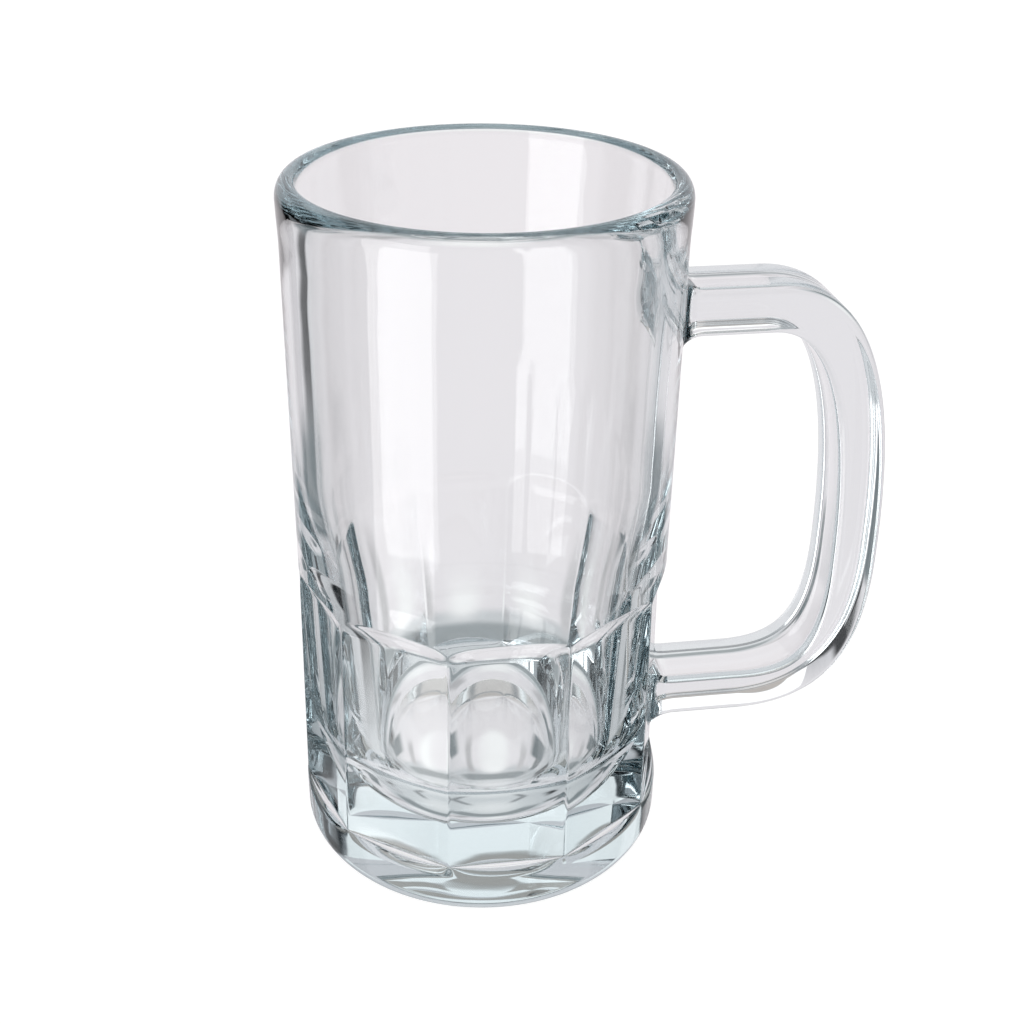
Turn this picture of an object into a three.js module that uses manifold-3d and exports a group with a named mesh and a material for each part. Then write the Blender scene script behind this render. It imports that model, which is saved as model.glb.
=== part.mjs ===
// Clear pressed-glass beer mug: a straight round cup with flat panels pressed into its lower half,
// a thick round foot, and a solid glass handle fused to the wall at two flared collars.
//
// Frame: the cup's axis is Z, the table is Z = 0, and the handle points along +X. Millimetres.

import * as THREE from 'three';
import { mergeVertices } from 'three/addons/utils/BufferGeometryUtils.js';
import Module from 'manifold-3d';

// Cup, outside
const MUG_HEIGHT = 145;
const WALL_RADIUS = 38.2; // the round upper wall
const RIM_CROWN = 2.6; // height of the rounded lip
const PANEL_COUNT = 10;
const RIB_SET_BACK = 0.15; // how far the ribs between the panels stand inside the round wall
const PANEL_TOP = 61.8; // where the flats end and the run-out curve begins
const PANEL_RUNOUT = 6; // radius of the curve that carries a flat out to the round wall
const PANEL_DRAFT = 0.6; // how much further out a flat stands at the foot than at its top
const FOOT_FLARE = 0.7; // how far the foot stands out past the wall
const FOOT_HEIGHT = 13;
const FOOT_SHOULDER_DROP = 2.5; // rounding of the foot's upper edge, down its side
const FOOT_SHOULDER_IN = 0.45; // and in along its top
const FOOT_EDGE = 5; // rounding of the foot's lower edge

// Cup, inside
const RIM_WALL = 3.9; // glass at the lip
const UPPER_WALL = 4.6; // glass below the lip's inner flare
const MIDDLE_WALL = 4.85; // glass where the bore starts to narrow
const LOWER_WALL = 5.45; // glass where the bore has become a cone
const FLOOR_WALL = 8.65; // glass where the floor's rounding starts, measured out to the upper wall
const FLARE_DEPTH = 20; // how far below the rim the lip's inner flare reaches
const NARROWS_ABOVE = 28.2; // the bore starts to narrow this far above the panels' top
const CONE_ABOVE = 13.2; // and is a cone from this far above it
const BASE_THICKNESS = 11;
const FLOOR_ROUND = 24;

// Handle
const BAR_WIDTH = 16.2; // across the handle, along Y
const BAR_THICKNESS = 10.6;
const BAR_ROUND = 3.4; // rounding of the bar's four long edges
const UPPER_BAR_DROP = 26.9; // rim to the middle of the upper bar
const LOWER_BAR_HEIGHT = 29.1; // table to the middle of the lower bar
const UPPER_BAR_LENGTH = 17.8; // wall to where the upper bend starts
const LOWER_BAR_LENGTH = 17.5; // wall to where the lower bend starts
const GRIP_REACH = 40.5; // wall to the middle of the grip at its widest
const GRIP_WIDEST = 59.8; // height at which the grip stands farthest out
const UPPER_BEND_PULL = [0.54, 0.8]; // how square the bend is, along the bar and along the grip
const LOWER_BEND_PULL = [0.72, 0.7];

// Collars, where the handle's hot ends were pressed to the wall and spread
const COLLAR_LENGTH = 3.6; // from the wall along the bar
const COLLAR_FLARE = 2.4; // how far the glass spreads round the bar
const FUSE_GAP = 0.3; // clearance kept between neighbouring pieces

// Fineness of the round surfaces
const CUP_SEGMENTS = PANEL_COUNT * 8;
const ARC_STEPS = 3;
const CORNER_STEPS = 2;
const GRIP_STEPS = 44;
const FLARE_STEPS = 5;
const SAME_POINT = 1e-4; // points closer than this are one point

const FULL_TURN = 2 * Math.PI;
const QUARTER_TURN = Math.PI / 2;
const PANEL_PITCH = FULL_TURN / PANEL_COUNT;
const PANEL_APOTHEM = (WALL_RADIUS - RIB_SET_BACK) * Math.cos(PANEL_PITCH / 2);
const FOOT_RADIUS = WALL_RADIUS + FOOT_FLARE;

// Below the panels' top the flats lean out. The round wall leans out more, so only flats are left of it.
const DRAFT_AT_TABLE = PANEL_DRAFT * PANEL_TOP / (PANEL_TOP - FOOT_HEIGHT);
const BLANK_AT_TABLE = 3 * DRAFT_AT_TABLE;

const wasm = await Module();
wasm.setup();

// Joining and cutting

function solidFrom(geometry) {
  const bare = geometry.clone();
  bare.deleteAttribute('normal');
  bare.deleteAttribute('uv');
  const merged = mergeVertices(bare, SAME_POINT);
  const index = Array.from(merged.index.array);
  const triangles = [];
  for (let i = 0; i < index.length; i += 3) {
    const [a, b, c] = index.slice(i, i + 3);
    if (a !== b && b !== c && c !== a) {
      triangles.push(a, b, c);
    }
  }
  const mesh = new wasm.Mesh({
    numProp: 3,
    vertProperties: new Float32Array(merged.attributes.position.array),
    triVerts: new Uint32Array(triangles),
  });
  return new wasm.Manifold(mesh);
}

function geometryFrom(solid) {
  const mesh = solid.getMesh();
  const geometry = new THREE.BufferGeometry();
  geometry.setAttribute('position', new THREE.BufferAttribute(new Float32Array(mesh.vertProperties), 3));
  geometry.setIndex(new THREE.BufferAttribute(new Uint32Array(mesh.triVerts), 1));
  geometry.computeVertexNormals();
  return geometry;
}

// A closed outline of radius and height, turned about Z.
function turned(outline) {
  const geometry = new THREE.LatheGeometry(outline.getPoints(ARC_STEPS), CUP_SEGMENTS);
  return solidFrom(geometry.rotateX(QUARTER_TURN));
}

// Cup

// Wall, rim, bore and floor in one outline, which starts inside the foot.
function wallOutline() {
  const wallBase = FOOT_HEIGHT / 2;
  const lipBase = MUG_HEIGHT - RIM_CROWN;
  const narrows = PANEL_TOP + NARROWS_ABOVE;
  const cone = PANEL_TOP + CONE_ABOVE;
  const floorRadius = WALL_RADIUS - FLOOR_WALL;
  const outline = new THREE.Path();
  outline.moveTo(0, wallBase);
  outline.lineTo(WALL_RADIUS + BLANK_AT_TABLE * (1 - wallBase / PANEL_TOP), wallBase);
  outline.lineTo(WALL_RADIUS, PANEL_TOP);
  outline.lineTo(WALL_RADIUS, lipBase);
  outline.absellipse(WALL_RADIUS - RIM_WALL / 2, lipBase, RIM_WALL / 2, RIM_CROWN, 0, Math.PI);
  outline.lineTo(WALL_RADIUS - UPPER_WALL, MUG_HEIGHT - FLARE_DEPTH);
  outline.lineTo(WALL_RADIUS - MIDDLE_WALL, narrows);
  outline.quadraticCurveTo(WALL_RADIUS - MIDDLE_WALL, (narrows + cone) / 2, WALL_RADIUS - LOWER_WALL, cone);
  outline.lineTo(floorRadius, BASE_THICKNESS + FLOOR_ROUND);
  outline.absarc(
    floorRadius - FLOOR_ROUND, BASE_THICKNESS + FLOOR_ROUND, FLOOR_ROUND, 0, -QUARTER_TURN, true,
  );
  outline.lineTo(0, BASE_THICKNESS);
  return outline;
}

function footOutline() {
  const outline = new THREE.Path();
  outline.moveTo(0, 0);
  outline.lineTo(FOOT_RADIUS - FOOT_EDGE, 0);
  outline.absarc(FOOT_RADIUS - FOOT_EDGE, FOOT_EDGE, FOOT_EDGE, -QUARTER_TURN, 0);
  outline.absellipse(
    FOOT_RADIUS - FOOT_SHOULDER_IN, FOOT_HEIGHT - FOOT_SHOULDER_DROP,
    FOOT_SHOULDER_IN, FOOT_SHOULDER_DROP, 0, QUARTER_TURN,
  );
  outline.lineTo(0, FOOT_HEIGHT);
  return outline;
}

// The room the cup takes up, grown by a clearance and without its bore.
function seatOutline(grow) {
  const outline = new THREE.Path();
  outline.moveTo(0, 0);
  outline.lineTo(WALL_RADIUS + BLANK_AT_TABLE + grow, 0);
  outline.lineTo(WALL_RADIUS + grow, PANEL_TOP);
  outline.lineTo(WALL_RADIUS + grow, MUG_HEIGHT);
  outline.lineTo(0, MUG_HEIGHT);
  return outline;
}

// What one panel takes off the round wall: a leaning flat, ending above in a hollow run-out curve.
function panelCutter(angle, grow) {
  const flat = PANEL_APOTHEM + grow;
  const clear = flat + PANEL_RUNOUT;
  const outline = new THREE.Shape();
  outline.moveTo(flat + 2 * DRAFT_AT_TABLE, -PANEL_TOP);
  outline.lineTo(clear, -PANEL_TOP);
  outline.lineTo(clear, PANEL_TOP + PANEL_RUNOUT);
  outline.absarc(clear, PANEL_TOP, PANEL_RUNOUT, QUARTER_TURN, Math.PI);
  outline.closePath();
  const width = 2 * clear * Math.tan(PANEL_PITCH / 2);
  const slab = new THREE.ExtrudeGeometry(outline, {
    depth: width,
    steps: 1,
    curveSegments: ARC_STEPS,
    bevelEnabled: false,
  });
  slab.translate(0, 0, -width / 2);
  slab.rotateX(QUARTER_TURN);
  slab.rotateZ(angle);
  return solidFrom(slab);
}

// Presses the panels into a round wall; the handle's plane passes through a rib between two of them.
function pressPanels(round, grow) {
  let wall = round;
  for (let i = 0; i < PANEL_COUNT; i += 1) {
    wall = wall.subtract(panelCutter((i + 0.5) * PANEL_PITCH, grow));
  }
  return wall;
}

function makeCup() {
  const wall = pressPanels(turned(wallOutline()), 0);
  return geometryFrom(wall.add(turned(footOutline())));
}

// Handle

// The bar's section, in thickness and width; spread moves its outline outwards.
function barSection(spread) {
  const x = BAR_THICKNESS / 2 - BAR_ROUND;
  const y = BAR_WIDTH / 2 - BAR_ROUND;
  const round = BAR_ROUND + spread;
  const section = new THREE.Shape();
  section.absarc(x, y, round, 0, QUARTER_TURN);
  section.absarc(-x, y, round, QUARTER_TURN, Math.PI);
  section.absarc(-x, -y, round, Math.PI, 3 * QUARTER_TURN);
  section.absarc(x, -y, round, 3 * QUARTER_TURN, FULL_TURN);
  section.closePath();
  return section;
}

const UPPER_BAR_Z = MUG_HEIGHT - UPPER_BAR_DROP;
const LOWER_BAR_Z = LOWER_BAR_HEIGHT;
const COLLAR_FACE_X = WALL_RADIUS + COLLAR_LENGTH;
const HANDLE_END_X = COLLAR_FACE_X + FUSE_GAP;

// Out along the upper bar, round the bend, down the grip and back along the lower bar.
function gripPath() {
  const at = (x, z) => new THREE.Vector3(x, 0, z);
  const reach = WALL_RADIUS + GRIP_REACH;
  const upperBend = WALL_RADIUS + UPPER_BAR_LENGTH;
  const lowerBend = WALL_RADIUS + LOWER_BAR_LENGTH;
  const [upperBarPull, upperGripPull] = UPPER_BEND_PULL;
  const [lowerBarPull, lowerGripPull] = LOWER_BEND_PULL;
  const path = new THREE.CurvePath();
  path.add(new THREE.LineCurve3(at(HANDLE_END_X, UPPER_BAR_Z), at(upperBend, UPPER_BAR_Z)));
  path.add(new THREE.CubicBezierCurve3(
    at(upperBend, UPPER_BAR_Z),
    at(upperBend + upperBarPull * (reach - upperBend), UPPER_BAR_Z),
    at(reach, GRIP_WIDEST + upperGripPull * (UPPER_BAR_Z - GRIP_WIDEST)),
    at(reach, GRIP_WIDEST),
  ));
  path.add(new THREE.CubicBezierCurve3(
    at(reach, GRIP_WIDEST),
    at(reach, GRIP_WIDEST - lowerGripPull * (GRIP_WIDEST - LOWER_BAR_Z)),
    at(lowerBend + lowerBarPull * (reach - lowerBend), LOWER_BAR_Z),
    at(lowerBend, LOWER_BAR_Z),
  ));
  path.add(new THREE.LineCurve3(at(lowerBend, LOWER_BAR_Z), at(HANDLE_END_X, LOWER_BAR_Z)));
  return path;
}

function makeHandle() {
  return new THREE.ExtrudeGeometry(barSection(0), {
    steps: GRIP_STEPS,
    curveSegments: CORNER_STEPS,
    bevelEnabled: false,
    extrudePath: gripPath(),
  });
}

// Collars

// A skin over rings of equal length, closed by a fan of triangles at each end.
function lofted(rings) {
  const count = rings[0].length;
  const points = rings.flat();
  const index = [];
  for (let r = 0; r + 1 < rings.length; r += 1) {
    for (let i = 0; i < count; i += 1) {
      const j = (i + 1) % count;
      const near = r * count;
      const far = near + count;
      index.push(near + i, far + j, near + j, near + i, far + i, far + j);
    }
  }
  const last = (rings.length - 1) * count;
  for (let i = 1; i + 1 < count; i += 1) {
    index.push(0, i, i + 1, last, last + i + 1, last + i);
  }
  const geometry = new THREE.BufferGeometry().setFromPoints(points);
  geometry.setIndex(index);
  return geometry;
}

// The bar's end spreads in a hollow curve until it lies along the wall, and the wall cuts it to fit.
function makeCollar(z) {
  const rootX = PANEL_APOTHEM - COLLAR_LENGTH;
  const ring = (x, spread) => barSection(spread).extractPoints(CORNER_STEPS).shape
    .map((p) => new THREE.Vector3(x, p.y, z - p.x));
  const rings = [];
  for (let i = 0; i <= FLARE_STEPS; i += 1) {
    const way = i / FLARE_STEPS;
    const spread = COLLAR_FLARE * (1 - Math.sqrt(1 - way * way));
    rings.push(ring(COLLAR_FACE_X - way * COLLAR_LENGTH, spread));
  }
  rings.push(ring(rootX, COLLAR_FLARE));
  const flared = solidFrom(lofted(rings));
  const seat = pressPanels(turned(seatOutline(FUSE_GAP)), FUSE_GAP);
  return geometryFrom(flared.subtract(seat));
}

// Assembly

const clearGlass = {
  color: 0xe4e9e9,
  roughness: 0.04,
  metalness: 0,
  transparent: true,
  opacity: 0.35,
};

const mug = new THREE.Group();

function place(name, geometry) {
  const piece = new THREE.Mesh(geometry, new THREE.MeshStandardMaterial(clearGlass));
  piece.name = name;
  mug.add(piece);
}

place('cup', makeCup());
place('handle', makeHandle());
place('upper_collar', makeCollar(UPPER_BAR_Z));
place('lower_collar', makeCollar(LOWER_BAR_Z));

export default mug;
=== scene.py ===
# %% [markdown]
# # A pressed-glass beer mug
#
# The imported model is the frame: what is made here lies where its solids lie, in metres, with the cup's
# axis on Z, the table at Z = 0 and the handle along +X. The solids are faceted, and glass shows every
# facet twice, once on its surface and once through it, so one smooth skin replaces them.

# %% Load the frame
import math

import bpy
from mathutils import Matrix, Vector


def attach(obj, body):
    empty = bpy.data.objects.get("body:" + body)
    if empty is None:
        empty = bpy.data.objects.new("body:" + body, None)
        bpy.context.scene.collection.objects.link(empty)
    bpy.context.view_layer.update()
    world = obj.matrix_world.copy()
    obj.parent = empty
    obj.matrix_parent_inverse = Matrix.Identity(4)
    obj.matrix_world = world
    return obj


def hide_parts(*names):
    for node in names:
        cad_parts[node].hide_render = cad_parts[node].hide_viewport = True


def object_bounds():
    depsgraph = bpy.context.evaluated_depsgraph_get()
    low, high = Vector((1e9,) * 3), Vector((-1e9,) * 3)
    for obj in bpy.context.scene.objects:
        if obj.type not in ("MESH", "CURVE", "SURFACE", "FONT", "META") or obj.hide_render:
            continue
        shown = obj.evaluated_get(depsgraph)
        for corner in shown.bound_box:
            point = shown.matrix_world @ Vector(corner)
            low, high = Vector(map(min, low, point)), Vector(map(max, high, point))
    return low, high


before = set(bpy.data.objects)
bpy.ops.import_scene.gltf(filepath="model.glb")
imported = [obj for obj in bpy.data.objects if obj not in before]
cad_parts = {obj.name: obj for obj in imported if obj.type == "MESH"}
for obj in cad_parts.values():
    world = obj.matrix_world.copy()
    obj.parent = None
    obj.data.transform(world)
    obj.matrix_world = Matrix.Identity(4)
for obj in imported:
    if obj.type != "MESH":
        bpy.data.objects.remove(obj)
cad_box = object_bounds()
MM = 0.001
print("frame:", ", ".join(sorted(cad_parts)))
print("box in mm:", [round(side / MM, 1) for side in cad_box[1] - cad_box[0]])


# %% [markdown]
# ## Camera
#
# The mug was seen from above its rim, close to, with the handle turned a little away. The camera stands at
# the distance and height that make the rim and the foot as round, and the wall as tapered, as they look in
# the picture. A small shift puts the mug where it stands in the frame, and leaves the perspective alone.

# %% Camera
VIEW_TURN = math.radians(8.4)  # how far the handle is turned away from the picture's plane
VIEW_DOWN = math.radians(28.55)
VIEW_ROLL = 0.0063  # radians
VIEW_DISTANCE = 266.5 * MM
VIEW_HEIGHT = 219.5 * MM
LENS = 51.9  # on a 36 mm sensor
VIEW_SHIFT = (0.0287, -0.001)  # shares of the frame
NEAREST = 10 * MM

bpy.ops.object.camera_add(
    location=(-VIEW_DISTANCE * math.sin(VIEW_TURN), -VIEW_DISTANCE * math.cos(VIEW_TURN), VIEW_HEIGHT),
    rotation=(math.pi / 2 - VIEW_DOWN, 0, -VIEW_TURN),
)
camera = bpy.context.object
camera.rotation_euler.rotate_axis("Z", VIEW_ROLL)
camera.data.lens = LENS
camera.data.shift_x, camera.data.shift_y = VIEW_SHIFT
camera.data.clip_start = NEAREST
bpy.context.scene.camera = camera
print("camera at", [round(c / MM) for c in camera.location], "mm")


# %% [markdown]
# ## Studio
#
# Glass has no colour of its own to show: what the eye reads is the room seen through it and mirrored in
# it. A studio would do it with a pale sweep, black cloth and one large softbox. Here they are parts of the
# world, given by the directions that they fill, because everything in a studio is far away from a mug.
# Parts that are pale make it look clear, and the black ones and the softbox draw its dark lines and its
# two bright strips. Their places were found by following rays through the mug, and their names only say
# what could look so in a studio. The camera sees plain white beside the mug, and only the glass shows the
# room. The floor is a matt sheet that takes the mug's shadow, and it is hidden from the glass.

# %% Colours and nodes
def linear(code):
    """An sRGB hex colour as linear RGBA."""
    channels = [int(code[i:i + 2], 16) / 255 for i in (1, 3, 5)]
    return [c / 12.92 if c <= 0.04045 else ((c + 0.055) / 1.055) ** 2.4 for c in channels] + [1]


def add_node(tree, kind, inputs=None, **settings):
    """Adds a node, sets its properties, and fills its sockets with values or links."""
    node = tree.nodes.new(kind)
    for name, value in settings.items():
        setattr(node, name, value)
    for socket, value in (inputs or {}).items():
        if isinstance(value, bpy.types.NodeSocket):
            tree.links.new(value, node.inputs[socket])
        else:
            node.inputs[socket].default_value = value
    return node


# %% Floor
BACKGROUND = linear("#FFFFFF")
FLOOR_SIDE = 4  # metres
FLOOR_DROP = 0.2 * MM  # keeps the floor clear of the underside
FLOOR_PAINT = linear("#E8E8E8")
FLOOR_GLOW = 0.93  # how white the camera sees it by itself; the rest is lit, and takes the shadow
FLOOR_DUSK = linear("#8C8C8C")  # the colour of that lit rest


def make_floor():
    bpy.ops.mesh.primitive_plane_add(size=FLOOR_SIDE, location=(0, 0, -FLOOR_DROP))
    floor = bpy.context.object
    floor.name = "floor"
    paint = bpy.data.materials.new("matt pale floor")
    paint.use_nodes = True
    tree = paint.node_tree
    tree.nodes.clear()
    path = add_node(tree, "ShaderNodeLightPath").outputs
    matt = add_node(tree, "ShaderNodeBsdfDiffuse", {"Color": FLOOR_PAINT}).outputs[0]
    glow = add_node(tree, "ShaderNodeEmission", {"Color": BACKGROUND, "Strength": FLOOR_GLOW}).outputs[0]
    dusk = add_node(tree, "ShaderNodeBsdfDiffuse", {"Color": FLOOR_DUSK}).outputs[0]
    white = add_node(tree, "ShaderNodeAddShader", {0: glow, 1: dusk}).outputs[0]
    both = add_node(tree, "ShaderNodeMixShader", {0: path["Is Camera Ray"], 1: matt, 2: white})
    add_node(tree, "ShaderNodeOutputMaterial", {"Surface": both.outputs[0]})
    floor.data.materials.append(paint)
    floor.visible_glossy = floor.visible_transmission = False


make_floor()
print("floor at", -FLOOR_DROP / MM, "mm")


# %% Tones and parts of the room
ROOM_TONES = [  # degrees above the level and the tone there, from the floor under the mug up to the ceiling
    (-90, "#F2F3F4"), (-70, "#DDE0E2"), (-50, "#CDD0D3"), (-36, "#CFD1D4"), (0, "#C4C6CA"), (24, "#A4A7AB"),
    (42, "#84888C"), (54, "#E3DAD6"), (90, "#FFFAF6"),
]
ROOM_PARTS = [  # left, right, low and high edge in degrees, softness of each pair, tone, strength
    (-48, 48, -47, 40, 0.42, 0.03, "#F0ECEF", 0.99),  # the pale backdrop behind the mug
    (-50, 50, 30, 42.7, 0.02, 0.008, "#FFFFFF", 1.3),  # its lit top
    (-75, 75, 42.7, 86, 0.10, 0.008, "#C0B9B4", 1.0),  # the grey ceiling above it
    (-45, 45, -66, -53, 0.10, 0.02, "#959C9F", 1.0),  # painted shadow: the mug's shadow ring round its foot, as the glass would see it on the table, below the backdrop
    (-8, 5, -50, -38, 0.07, 0.05, "#FFFFFF", 1.0),  # the lamp's light on the table
    (-24, -17, -50, -36, 0.03, 0.05, "#BEBCBE", 1.0),  # a grey strip at the left of that light
    (20, 28, -50, -36, 0.03, 0.05, "#CFCDCF", 1.0),  # a paler one at its right
    (44, 54, -50, -33, 0.03, 0.05, "#85898B", 1.0),  # and a darker one at the table's end
    (104, 122, 45, 72, 0.08, 0.06, "#FFFFFF", 1.25),  # a white beam of the ceiling, right of the camera
    (-122, -104, 45, 72, 0.08, 0.06, "#FFFFFF", 1.25),  # and left of it
    (126, 140, 45, 72, 0.08, 0.06, "#94979A", 1.0),  # a grey beam beside the first
    (-140, -126, 45, 72, 0.08, 0.06, "#94979A", 1.0),  # and beside the second
    (112, 123, -74, -54, 0.05, 0.02, "#84888B", 1.0),  # a grey board of the floor, right of the camera
    (-121, -110, -74, -54, 0.05, 0.02, "#84888B", 1.0),  # and left of it
    (118, 242, -56, 20, 0.20, 0.20, "#DCDDE0", 1.1),  # the pale wall behind the camera
    (-72, -43, -27, 4, 0.06, 0.07, "#0A0D0F", 1.0),  # a black curtain at the left
    (-54, -33, -38, -26, 0.06, 0.02, "#707A7E", 1.0),  # its wider hem
    (34, 54, -38, -26, 0.06, 0.02, "#707A7E", 1.0),  # and the hem of a curtain at the right
    (-72, -53, -60, -8, 0.015, 0.015, "#C6C8CB", 1.0),  # the pale wall past the curtain
    (-98, -70, -50, 50, 0.05, 0.05, "#23272A", 1.0),  # a dark wall at the left
    (72, 100, -50, 50, 0.05, 0.05, "#23272A", 1.0),  # and one at the right
    (-84, -51, -6, 50, 0.03, 0.03, "#0E1113", 1.0),  # a black card at the left
    (54, 84, 6, 44, 0.04, 0.04, "#14171A", 1.0),  # a smaller one at the right
    (-151.5, -113.5, -38, 24, 0.012, 0.012, "#FFFFFF", 3.0),  # the softbox
]
print("room of", len(ROOM_TONES), "tones and", len(ROOM_PARTS), "parts")


# %% Directions in the room
def compass(turn):
    """A level direction by its turn to the right of the view, in degrees."""
    turn = math.radians(turn) + VIEW_TURN
    return Vector((math.sin(turn), math.cos(turn), 0))


def level(height):
    """How far up a direction points, from -1 to 1, at a height above the level in degrees."""
    return math.sin(math.radians(height))


def inside_part(tree, way, up, left, right, low, high, side_soft, level_soft):
    """How far a direction lies inside a part of the room, from 0 outside it to 1 inside."""
    edges = []
    for side in (compass(left + 90), compass(right - 90)):
        lean = add_node(tree, "ShaderNodeVectorMath", {0: way, 1: side}, operation="DOT_PRODUCT")
        edges.append((lean.outputs["Value"], -side_soft, side_soft))
    edges.append((up, level(low) - level_soft, level(low) + level_soft))
    edges.append((up, level(high) + level_soft, level(high) - level_soft))
    inside = 1.0
    for value, start, end in edges:
        limits = {0: value, 1: start, 2: end}
        edge = add_node(tree, "ShaderNodeMapRange", limits, interpolation_type="SMOOTHSTEP").outputs[0]
        inside = add_node(tree, "ShaderNodeMath", {0: inside, 1: edge}, operation="MULTIPLY").outputs[0]
    return inside


# %% Room
BOUNCES = 24  # light runs a long way inside thick glass


def make_room():
    world = bpy.data.worlds.new("studio")
    bpy.context.scene.world = world
    world.use_nodes = True
    tree = world.node_tree
    tree.nodes.clear()
    path = add_node(tree, "ShaderNodeLightPath").outputs
    way = add_node(tree, "ShaderNodeTexCoord").outputs["Generated"]
    up = add_node(tree, "ShaderNodeSeparateXYZ", {0: way}).outputs["Z"]
    share = add_node(tree, "ShaderNodeMapRange", {0: up, 1: -1, 2: 1}).outputs[0]
    ramp = add_node(tree, "ShaderNodeValToRGB", {"Fac": share})
    stops = ramp.color_ramp.elements
    places = [level(height) / 2 + 0.5 for height, code in ROOM_TONES]
    for place in places[1:-1]:
        stops.new(place)
    for stop, place, (height, code) in zip(stops, places, ROOM_TONES):
        stop.position = place
        stop.color = linear(code)
    room = ramp.outputs[0]
    for *edges, code, strength in ROOM_PARTS:
        tone = [c * strength for c in linear(code)[:3]] + [1]
        layers = {"Factor": inside_part(tree, way, up, *edges), 6: room, 7: tone}
        room = add_node(tree, "ShaderNodeMix", layers, data_type="RGBA").outputs[2]
    layers = {"Factor": path["Is Camera Ray"], 6: room, 7: BACKGROUND}
    seen = add_node(tree, "ShaderNodeMix", layers, data_type="RGBA")
    light = add_node(tree, "ShaderNodeBackground", {"Color": seen.outputs[2]})
    add_node(tree, "ShaderNodeOutputWorld", {"Surface": light.outputs[0]})


make_room()
bpy.context.scene.view_settings.view_transform = "Standard"
cycles = bpy.context.scene.cycles
cycles.max_bounces = cycles.transmission_bounces = cycles.glossy_bounces = BOUNCES
print("studio ready")


# %% [markdown]
# ## Glass
#
# The mug is soda-lime glass, pressed hot and fire-polished. It bends light as window glass does. Its
# blue-green tint shows only where light runs through a lot of it, in the rim and the base, so the tint is
# an absorption in the depth and the skin stays colourless. The polish leaves slow waves in the skin, which
# bend the reflections a little, and standing on tables has dulled the underside.

# %% Pressed soda-lime glass
GLASS_IOR = 1.51
TINT = linear("#669AA6")
TINT_DENSITY = 7.5  # per metre
WORN_HEIGHT = 0.4  # the underside, up to this height in mm, is dulled by standing and sliding on tables
WORN_ROUGHNESS = 0.008
WAVES = (9.0, 0.012)  # length and depth in mm of the slow waves in the fire-polished skin


def make_glass():
    glass = bpy.data.materials.new("fire-polished soda-lime glass")
    glass.use_nodes = True
    tree = glass.node_tree
    tree.nodes.clear()
    place = add_node(tree, "ShaderNodeTexCoord").outputs["Object"]
    height = add_node(tree, "ShaderNodeSeparateXYZ", {0: place}).outputs["Z"]
    wave = add_node(tree, "ShaderNodeTexNoise", {
        "Vector": place, "Scale": 1 / (WAVES[0] * MM), "Detail": 1.0}).outputs[0]
    slope = add_node(tree, "ShaderNodeBump", {"Height": wave, "Distance": WAVES[1] * MM, "Strength": 1.0})
    worn = add_node(tree, "ShaderNodeMapRange", {
        0: height, 1: WORN_HEIGHT * MM, 2: 0, 3: 0, 4: WORN_ROUGHNESS})
    skin = add_node(tree, "ShaderNodeBsdfPrincipled", {
        "Base Color": (1, 1, 1, 1), "Transmission Weight": 1.0, "IOR": GLASS_IOR,
        "Roughness": worn.outputs[0], "Normal": slope.outputs[0]})
    depth = add_node(tree, "ShaderNodeVolumeAbsorption", {"Color": TINT, "Density": TINT_DENSITY})
    add_node(tree, "ShaderNodeOutputMaterial", {"Surface": skin.outputs[0], "Volume": depth.outputs[0]})
    return glass


clear_glass = make_glass()
print("glass:", clear_glass.name)


# %% [markdown]
# ## Cup
#
# The cup is one pressing, from the foot up the wall and over the rim, and down the bore to its bowl-shaped
# floor. It could be turned up from stacked rings, but one outline of radius and height, spun about the
# axis, gives skins without a step anywhere, and clear glass shows every step. The ten panels are then
# pressed into the spun wall, as the mould presses them.

# %% Cup sizes
HEIGHT = cad_box[1].z / MM  # the mug's sizes are in mm
WALL_RADIUS = 38.2
RIM_TOP = 35.8  # radius at which the rim is highest
RIM_OUTER = 3.5  # height of the rim's rounding on the outside
RIM_INNER = (1.3, 1.7)  # its rounding on the inside, across and up
BEAD = (0.28, 9.0)  # how far the rim bulges past the wall, and the height over which it grows
FOOT_RADIUS = 38.9
FOOT_HEIGHT = 13.0
FOOT_EDGE = 5.0  # rounding of its lower edge
SHOULDER = (0.45, 2.5)  # the foot's upper rounding, across and up
LEDGE_FILLET = (0.12, 0.5)  # the rounding where the wall rises from the foot
PANELS = 10
PITCH = 2 * math.pi / PANELS
PANEL_FACE = WALL_RADIUS * math.cos(PITCH / 2)  # axis to a flat, at its top
PANEL_DRAFT = 0.6  # how much further out a flat stands at the foot
PANEL_TOP = 61.8  # height at which the flats end
RUNOUT = 6.0  # radius of the curve in which a flat runs out into the round wall
BORE = [(33.6, 125.0), (33.35, 90.0)]  # radius and height of the upper bore, from the rim down
BORE_TURN = 75.0  # height at which the bore has turned into a cone that narrows to the floor
BORE_LEAN = 0.08  # how much the cone narrows for each mm down
BOWL_FLOOR = 11.0  # height of the bowl-shaped floor at its lowest
BOWL = 24.0  # radius of the bowl
COLUMNS = PANELS * 32  # points round the cup
ARCH_BELOW = 8  # the rows of points follow the arches from this far below the flats' tops
ARCH_ABOVE = 12  # up to this far above the crowns
ARCH_CLOSE = 1.5  # and stand closest this near to the crowns
BELOW_RIM = 20  # only what lies lower than this under the rim is pressed
print("cup", round(HEIGHT, 1), "mm high, with flats", round(PANEL_FACE, 1), "mm from its axis")


# %% Lines of the outline
def along(start, end, count):
    """Points of a straight line after its start, in equal steps."""
    return [(start[0] + (end[0] - start[0]) * i / count, start[1] + (end[1] - start[1]) * i / count)
            for i in range(1, count + 1)]


def arc(centre, radii, start, end, count):
    """Points of an arc after its start, in equal steps from one angle to another, in degrees."""
    angles = [math.radians(start + (end - start) * i / count) for i in range(1, count + 1)]
    return [(centre[0] + radii[0] * math.cos(a), centre[1] + radii[1] * math.sin(a)) for a in angles]


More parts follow.
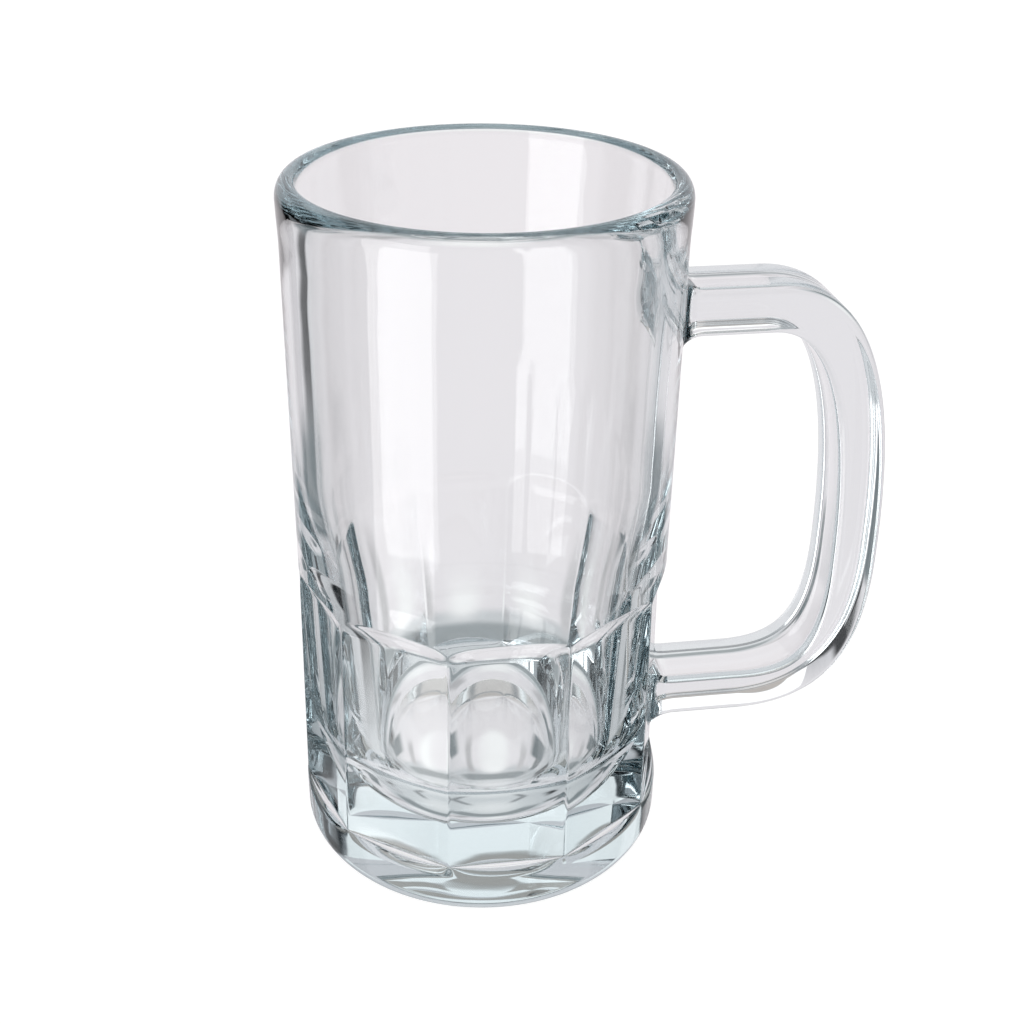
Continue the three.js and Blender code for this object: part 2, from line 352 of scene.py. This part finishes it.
def ease(start, end, count):
    """An S between two points, upright at both ends."""
    ways = [i / count for i in range(1, count + 1)]
    return [(start[0] + (end[0] - start[0]) * w * w * (3 - 2 * w), start[1] + (end[1] - start[1]) * w)
            for w in ways]


def lean_in(start, end, count):
    """A line that starts upright and leans evenly more and more until it reaches its end."""
    ways = [i / count for i in range(1, count + 1)]
    return [(start[0] + (end[0] - start[0]) * w * w, start[1] + (end[1] - start[1]) * w) for w in ways]


# %% Cup outline
def arch_height(u):
    """Height of the run-out's edge on the round wall, at an angle u from a panel's middle."""
    sunk = WALL_RADIUS * math.cos(u) - PANEL_FACE
    return PANEL_TOP + math.sqrt(RUNOUT ** 2 - (RUNOUT - sunk) ** 2)


CROWN = arch_height(0)
lip = HEIGHT - RIM_OUTER
outline = [(0, 0)]
outline += along((0, 0), (FOOT_RADIUS - FOOT_EDGE, 0), 8)
outline += arc((FOOT_RADIUS - FOOT_EDGE, FOOT_EDGE), (FOOT_EDGE, FOOT_EDGE), -90, 0, 14)
outline += along(outline[-1], (FOOT_RADIUS, FOOT_HEIGHT - SHOULDER[1]), 2)
outline += arc((FOOT_RADIUS - SHOULDER[0], FOOT_HEIGHT - SHOULDER[1]), SHOULDER, 0, 90, 10)
outline += along(outline[-1], (WALL_RADIUS + LEDGE_FILLET[0], FOOT_HEIGHT), 2)
outline += arc((WALL_RADIUS + LEDGE_FILLET[0], FOOT_HEIGHT + LEDGE_FILLET[1]), LEDGE_FILLET, 270, 180, 6)
outline += along(outline[-1], (WALL_RADIUS, PANEL_TOP - ARCH_BELOW), 10)
outline += along(outline[-1], (WALL_RADIUS, CROWN - ARCH_CLOSE), 20)
outline += along(outline[-1], (WALL_RADIUS, CROWN + ARCH_CLOSE), 14)
outline += along(outline[-1], (WALL_RADIUS, CROWN + ARCH_ABOVE), 8)
outline += along(outline[-1], (WALL_RADIUS, lip - BEAD[1]), 12)
outline += ease(outline[-1], (WALL_RADIUS + BEAD[0], lip), 10)
outline += arc((RIM_TOP, lip), (WALL_RADIUS + BEAD[0] - RIM_TOP, RIM_OUTER), 0, 90, 18)
inner_lip = (RIM_TOP - RIM_INNER[0], HEIGHT - RIM_INNER[1])
flare = 2 * (inner_lip[0] - BORE[0][0]) / (inner_lip[1] - BORE[0][1])  # slope of the bore at the lip
lip_end = 180 - math.degrees(math.atan(flare * RIM_INNER[1] / RIM_INNER[0]))
outline += arc((RIM_TOP, inner_lip[1]), RIM_INNER, 90, lip_end, 14)
outline += reversed(lean_in(BORE[0], outline[-1], 14)[:-1])
outline += [BORE[0]]
outline += along(outline[-1], BORE[1], 8)
outline += lean_in(BORE[1], (BORE[1][0] - BORE_LEAN * (BORE[1][1] - BORE_TURN) / 2, BORE_TURN), 10)
lean = math.atan(BORE_LEAN)
bore_end = BOWL_FLOOR + BOWL * (1 - math.sin(lean))
bore_foot = outline[-1][0] - BORE_LEAN * (BORE_TURN - bore_end)
outline += along(outline[-1], (bore_foot, bore_end), 16)
bowl_middle = (bore_foot - BOWL * math.cos(lean), BOWL_FLOOR + BOWL)
outline += arc(bowl_middle, (BOWL, BOWL), -math.degrees(lean), -90, 20)
outline += along(outline[-1], (0, BOWL_FLOOR), 6)
print("outline of", len(outline), "points")


# %% Spin the cup
SAME = 0.002 * MM  # points closer than this are one point


def start_piece(name):
    """A mesh object of one point at the origin, in edit mode, with nothing else selected."""
    bpy.ops.object.select_all(action="DESELECT")
    bpy.ops.mesh.primitive_plane_add(size=1)
    piece = bpy.context.object
    piece.name = name
    bpy.ops.object.mode_set(mode="EDIT")
    bpy.ops.mesh.merge(type="CENTER")
    return piece


def draw(points):
    """Moves the one selected point to the first place and extrudes it through the rest."""
    here = Vector(points[0])
    bpy.ops.transform.translate(value=here)
    for point in points[1:]:
        step = Vector(point) - here
        bpy.ops.mesh.extrude_region_move(TRANSFORM_OT_translate={"value": step})
        here = here + step


cup = start_piece("cup")
draw([(r * MM, 0, z * MM) for r, z in outline])
bpy.ops.mesh.select_all(action="SELECT")
bpy.ops.mesh.spin(steps=COLUMNS, angle=2 * math.pi, center=(0, 0, 0), axis=(0, 0, 1))
bpy.ops.mesh.select_all(action="SELECT")
bpy.ops.mesh.remove_doubles(threshold=SAME)
bpy.ops.mesh.normals_make_consistent(inside=False)
bpy.ops.object.mode_set(mode="OBJECT")
print("spun cup of", len(cup.data.vertices), "points")

# %% Faces of the panels
RIB_SOFT = 0.3  # how far apart two faces start to round into each other, in mm
ARCH_SOFT = 0.5  # the same for the flats and the round wall
CAP_LEAN = 0.1  # the round wall leans out of the way below the arches


def soft_min(a, b, soft):
    """The smaller of two values, rounded off where they are nearly the same."""
    near = max(soft - abs(a - b), 0) / soft
    return min(a, b) - near * near * soft / 4


def panel_radius(u, z):
    """Radius of one panel's face and run-out at an angle from its middle, in mm."""
    up = min(max(z - PANEL_TOP, 0), RUNOUT)
    draft = PANEL_DRAFT * max(PANEL_TOP - z, 0) / (PANEL_TOP - FOOT_HEIGHT)
    return (PANEL_FACE + draft + RUNOUT - math.sqrt(RUNOUT ** 2 - up ** 2)) / math.cos(u)


def wall_radius(u, z):
    """Radius of the pressed wall: two panels meet in a rib, and the round wall caps both."""
    if z > PANEL_TOP + RUNOUT:
        return WALL_RADIUS
    pressed = soft_min(panel_radius(u, z), panel_radius(PITCH - abs(u), z), RIB_SOFT)
    cap = WALL_RADIUS + max(PANEL_TOP - z, 0) * CAP_LEAN
    return soft_min(pressed, cap, ARCH_SOFT)


print("wall at a rib", round(wall_radius(PITCH / 2, PANEL_TOP), 2), "mm, at a flat",
      round(wall_radius(0, PANEL_TOP), 2), "mm")

# %% Press the panels
CROWD = 0.75  # how much closer the columns stand at the ribs
TOUCH = 0.01  # a point this close to the axis or to the wall lies on it


def slide(u, z):
    """Moves the rows of points near the run-outs so that one of them follows the arches."""
    low, high = PANEL_TOP - ARCH_BELOW, CROWN + ARCH_ABOVE
    arch = arch_height(u)
    if low < z <= CROWN:
        return low + (z - low) * (arch - low) / (CROWN - low)
    if CROWN < z < high:
        return high - (high - z) * (high - arch) / (high - CROWN)
    return z


def press(vertex):
    """Moves a point of the spun cup to where the mould leaves it."""
    x, y, z = (c / MM for c in vertex.co)
    radius, turn = math.hypot(x, y), math.atan2(y, x)
    if radius < TOUCH:
        return
    u = (turn + PITCH) % PITCH - PITCH / 2
    middle = turn - u
    u += CROWD * PITCH / (2 * math.pi) * math.sin(2 * math.pi * u / PITCH)
    outer = WALL_RADIUS - TOUCH < radius and z < HEIGHT - BELOW_RIM
    if outer and z > FOOT_HEIGHT - SHOULDER[1]:
        z = slide(u, z)
        foot_room = FOOT_RADIUS - WALL_RADIUS
        radius = FOOT_RADIUS - (FOOT_RADIUS - radius) * (FOOT_RADIUS - wall_radius(u, z)) / foot_room
    vertex.co = Vector((radius * math.cos(middle + u), radius * math.sin(middle + u), z)) * MM


for vertex in cup.data.vertices:
    press(vertex)
cup.data.update()
print("cup of", len(cup.data.polygons), "faces")


# %% [markdown]
# ## Handle
#
# The handle is one bar of rounded-rectangle section, bent while hot, and its soft ends were pressed to the
# wall, where they spread into flared collars. The bar could be extruded ring by ring, but a section swept
# along a curve keeps its width and its roundings even through both bends, which clear glass would give
# away at once.
#
# The collars grow out of the swept bar: the last ring at each end is extruded towards the wall in small
# steps that widen, and the end is closed and laid on the wall a hair deep.

# %% Middle line of the bar
UPPER_BAR = 118.1  # height of the upper bar's middle line
LOWER_BAR = 29.1  # and of the lower bar's
UPPER_BEND = 56.0  # how far from the axis the upper bend starts
LOWER_BEND = 55.7  # and the lower one
REACH = 79.0  # how far from the axis the grip's middle line stands where it is widest
WIDEST = 59.8  # the height of that place
UPPER_PULL = (0.54, 0.8)  # reach of the upper bend's curve handles to its corner, along bar and grip
LOWER_PULL = (0.72, 0.7)  # and of the lower bend's
STRAIGHT = 4  # length of the curve handles along the straight bars
BAR_STEPS = 90  # rings between two knots
COLLAR_LENGTH = 3.6
COLLAR_FACE = WALL_RADIUS + COLLAR_LENGTH


def bar_knots():
    """Left handle, point and right handle of each knot on the bar's middle line, as (x, z) in mm."""
    up_rise = WIDEST + UPPER_PULL[1] * (UPPER_BAR - WIDEST)
    low_rise = WIDEST - LOWER_PULL[1] * (WIDEST - LOWER_BAR)
    upper_run = UPPER_BEND + UPPER_PULL[0] * (REACH - UPPER_BEND)
    lower_run = LOWER_BEND + LOWER_PULL[0] * (REACH - LOWER_BEND)
    return [
        ((COLLAR_FACE - STRAIGHT, UPPER_BAR), (COLLAR_FACE, UPPER_BAR), (COLLAR_FACE + STRAIGHT, UPPER_BAR)),
        ((UPPER_BEND - STRAIGHT, UPPER_BAR), (UPPER_BEND, UPPER_BAR), (upper_run, UPPER_BAR)),
        ((REACH, up_rise), (REACH, WIDEST), (REACH, low_rise)),
        ((lower_run, LOWER_BAR), (LOWER_BEND, LOWER_BAR), (LOWER_BEND - STRAIGHT, LOWER_BAR)),
        ((COLLAR_FACE + STRAIGHT, LOWER_BAR), (COLLAR_FACE, LOWER_BAR), (COLLAR_FACE - STRAIGHT, LOWER_BAR)),
    ]


def draw_middle_line():
    bpy.ops.object.select_all(action="DESELECT")
    bpy.ops.curve.primitive_bezier_curve_add()
    path = bpy.context.object
    path.data.dimensions = "3D"
    path.data.twist_mode = "MINIMUM"
    spline = path.data.splines[0]
    knots = bar_knots()
    spline.bezier_points.add(len(knots) - len(spline.bezier_points))
    for point, (left, middle, right) in zip(spline.bezier_points, knots):
        point.handle_left_type = point.handle_right_type = "FREE"
        point.handle_left = (left[0] * MM, 0, left[1] * MM)
        point.co = (middle[0] * MM, 0, middle[1] * MM)
        point.handle_right = (right[0] * MM, 0, right[1] * MM)
    spline.resolution_u = BAR_STEPS
    return path


middle_line = draw_middle_line()
print("middle line of", len(middle_line.data.splines[0].bezier_points), "knots")

# %% Section of the bar
BAR_WIDTH = 15.5
BAR_THICKNESS = 9.9
BAR_ROUND = 2.0


def bar_section(count=12):
    """Points round the bar's section, as (thickness, width), with the corners as arcs."""
    x, y = BAR_THICKNESS / 2 - BAR_ROUND, BAR_WIDTH / 2 - BAR_ROUND
    points = []
    for sx, sy, start in ((1, 1, 0), (-1, 1, 90), (-1, -1, 180), (1, -1, 270)):
        points += arc((sx * x, sy * y), (BAR_ROUND, BAR_ROUND), start - 90 / count, start + 90, count + 1)
    return points


def draw_section():
    bpy.ops.curve.primitive_bezier_curve_add()
    section = bpy.context.object
    section.data.dimensions = "2D"
    section.data.splines.clear()
    ring = section.data.splines.new("POLY")
    points = bar_section()
    ring.points.add(len(points) - 1)
    for point, (x, y) in zip(ring.points, points):
        point.co = (y * MM, x * MM, 0, 1)
    ring.use_cyclic_u = True
    return section


bar_ring = draw_section()
print("section of", len(bar_ring.data.splines[0].points), "points")


# %% Sweep the bar
def sweep(path, section):
    """The section along the middle line, as a mesh that is open at both ends."""
    path.data.bevel_mode = "OBJECT"
    path.data.bevel_object = section
    bpy.ops.object.select_all(action="DESELECT")
    path.select_set(True)
    bpy.context.view_layer.objects.active = path
    bpy.ops.object.convert(target="MESH")
    bar = bpy.context.object
    bar.name = "handle"
    bpy.data.objects.remove(section)
    return bar


handle = sweep(middle_line, bar_ring)
print("bar of", len(handle.data.vertices), "points")


# %% Seats on the wall
def round_wall(y, z):
    """How far out along X the round wall lies."""
    return math.sqrt(WALL_RADIUS ** 2 - y ** 2)


def ribbed_wall(y, z):
    """How far out along X the two flats lie that meet in the rib under the handle."""
    flat = PANEL_FACE + PANEL_DRAFT * (PANEL_TOP - z) / (PANEL_TOP - FOOT_HEIGHT)
    return (flat - abs(y) * math.sin(PITCH / 2)) / math.cos(PITCH / 2)


print("seats at", [round(out, 2) for out in (round_wall(0, UPPER_BAR), ribbed_wall(0, LOWER_BAR))], "mm")

# %% Collars
COLLAR_FLARE = 2.4  # how far a collar spreads past the bar at the wall
FLARE_STEPS = 12
CAP_RINGS = 6  # rings of the skin that closes its end
NEAR = 0.001  # a point this close to the collar's face lies on it
OVERLAP = 0.15  # how deep the collars lie in the wall before they are fused to it


def spread_end(bar, height, seat):
    """Extrudes the bar's open end at a height to the wall; seat gives the wall's place along X."""
    bpy.ops.object.mode_set(mode="EDIT")
    bpy.ops.mesh.select_all(action="DESELECT")
    bpy.ops.object.mode_set(mode="OBJECT")
    for vertex in bar.data.vertices:
        at_face = abs(vertex.co.x / MM - COLLAR_FACE) < NEAR
        vertex.select = at_face and abs(vertex.co.z / MM - height) < BAR_WIDTH
    for edge in bar.data.edges:
        edge.select = all(bar.data.vertices[i].select for i in edge.vertices)
    bpy.ops.object.mode_set(mode="EDIT")
    middle = (0, 0, height * MM)
    inwards = (-COLLAR_LENGTH / FLARE_STEPS * MM, 0, 0)
    grown = 0.0
    for step in range(1, FLARE_STEPS + 1):
        flare = COLLAR_FLARE * (1 - math.sqrt(1 - (step / FLARE_STEPS) ** 2))
        bpy.ops.mesh.extrude_region_move(TRANSFORM_OT_translate={"value": inwards})
        grow = [(size + 2 * flare) / (size + 2 * grown) for size in (BAR_WIDTH, BAR_THICKNESS)]
        bpy.ops.transform.resize(value=(1, grow[0], grow[1]), center_override=middle)
        grown = flare
    for ring in range(CAP_RINGS, 1, -1):
        bpy.ops.mesh.extrude_region_move()
        shrink = (ring - 1) / ring
        bpy.ops.transform.resize(value=(1, shrink, shrink), center_override=middle)
    bpy.ops.mesh.merge(type="CENTER")
    bpy.ops.object.mode_set(mode="OBJECT")
    for vertex in bar.data.vertices:
        x, y, z = (c / MM for c in vertex.co)
        if x < COLLAR_FACE - NEAR and abs(z - height) < BAR_WIDTH:
            way = (COLLAR_FACE - x) / COLLAR_LENGTH
            vertex.co.x = (COLLAR_FACE + (seat(y, z) - OVERLAP - COLLAR_FACE) * way) * MM


bpy.ops.object.mode_set(mode="EDIT")
bpy.ops.mesh.select_mode(type="VERT")
bpy.ops.mesh.select_all(action="SELECT")
bpy.ops.mesh.remove_doubles(threshold=SAME)
spread_end(handle, UPPER_BAR, round_wall)
spread_end(handle, LOWER_BAR, ribbed_wall)
bpy.ops.object.mode_set(mode="EDIT")
bpy.ops.mesh.select_all(action="SELECT")
bpy.ops.mesh.normals_make_consistent(inside=False)
bpy.ops.object.mode_set(mode="OBJECT")
print("handle of", len(handle.data.polygons), "faces")


# %% [markdown]
# ## One piece of glass
#
# On the real mug the handle was fused on while everything was hot, and no joint is left in the glass:
# light runs from the wall into the handle and back, which draws the dark collars and the streaks beside
# them. Two pieces that touch would stop it at their skins, so a boolean union takes the skins between them
# away.

# %% Fuse the handle to the cup
def fuse(body, limb):
    """Takes away the skins between two meshes that overlap, and leaves one mesh."""
    bpy.ops.object.select_all(action="DESELECT")
    body.select_set(True)
    bpy.context.view_layer.objects.active = body
    bpy.ops.object.modifier_add(type="BOOLEAN")
    union = body.modifiers[-1]
    union.operation = "UNION"
    union.solver = "EXACT"
    union.object = limb
    bpy.ops.object.modifier_apply(modifier=union.name)
    bpy.data.objects.remove(limb)


fuse(cup, handle)
print("one skin of", len(cup.data.vertices), "points")

# %% Finish the glass
SHARP = math.radians(50)  # faces that meet at more than this keep a sharp edge


def finish_piece(piece, *nodes):
    """Smooth skin with its sharp edges kept, glass, and the solids that the piece stands for."""
    bpy.ops.object.select_all(action="DESELECT")
    piece.select_set(True)
    bpy.context.view_layer.objects.active = piece
    bpy.ops.object.shade_smooth_by_angle(angle=SHARP)
    piece.data.materials.clear()
    piece.data.materials.append(clear_glass)
    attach(piece, "root")
    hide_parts(*nodes)
    print(piece.name, len(piece.data.polygons), "faces")


cup.name = "mug_glass"
finish_piece(cup, "cup", "handle", "upper_collar", "lower_collar")
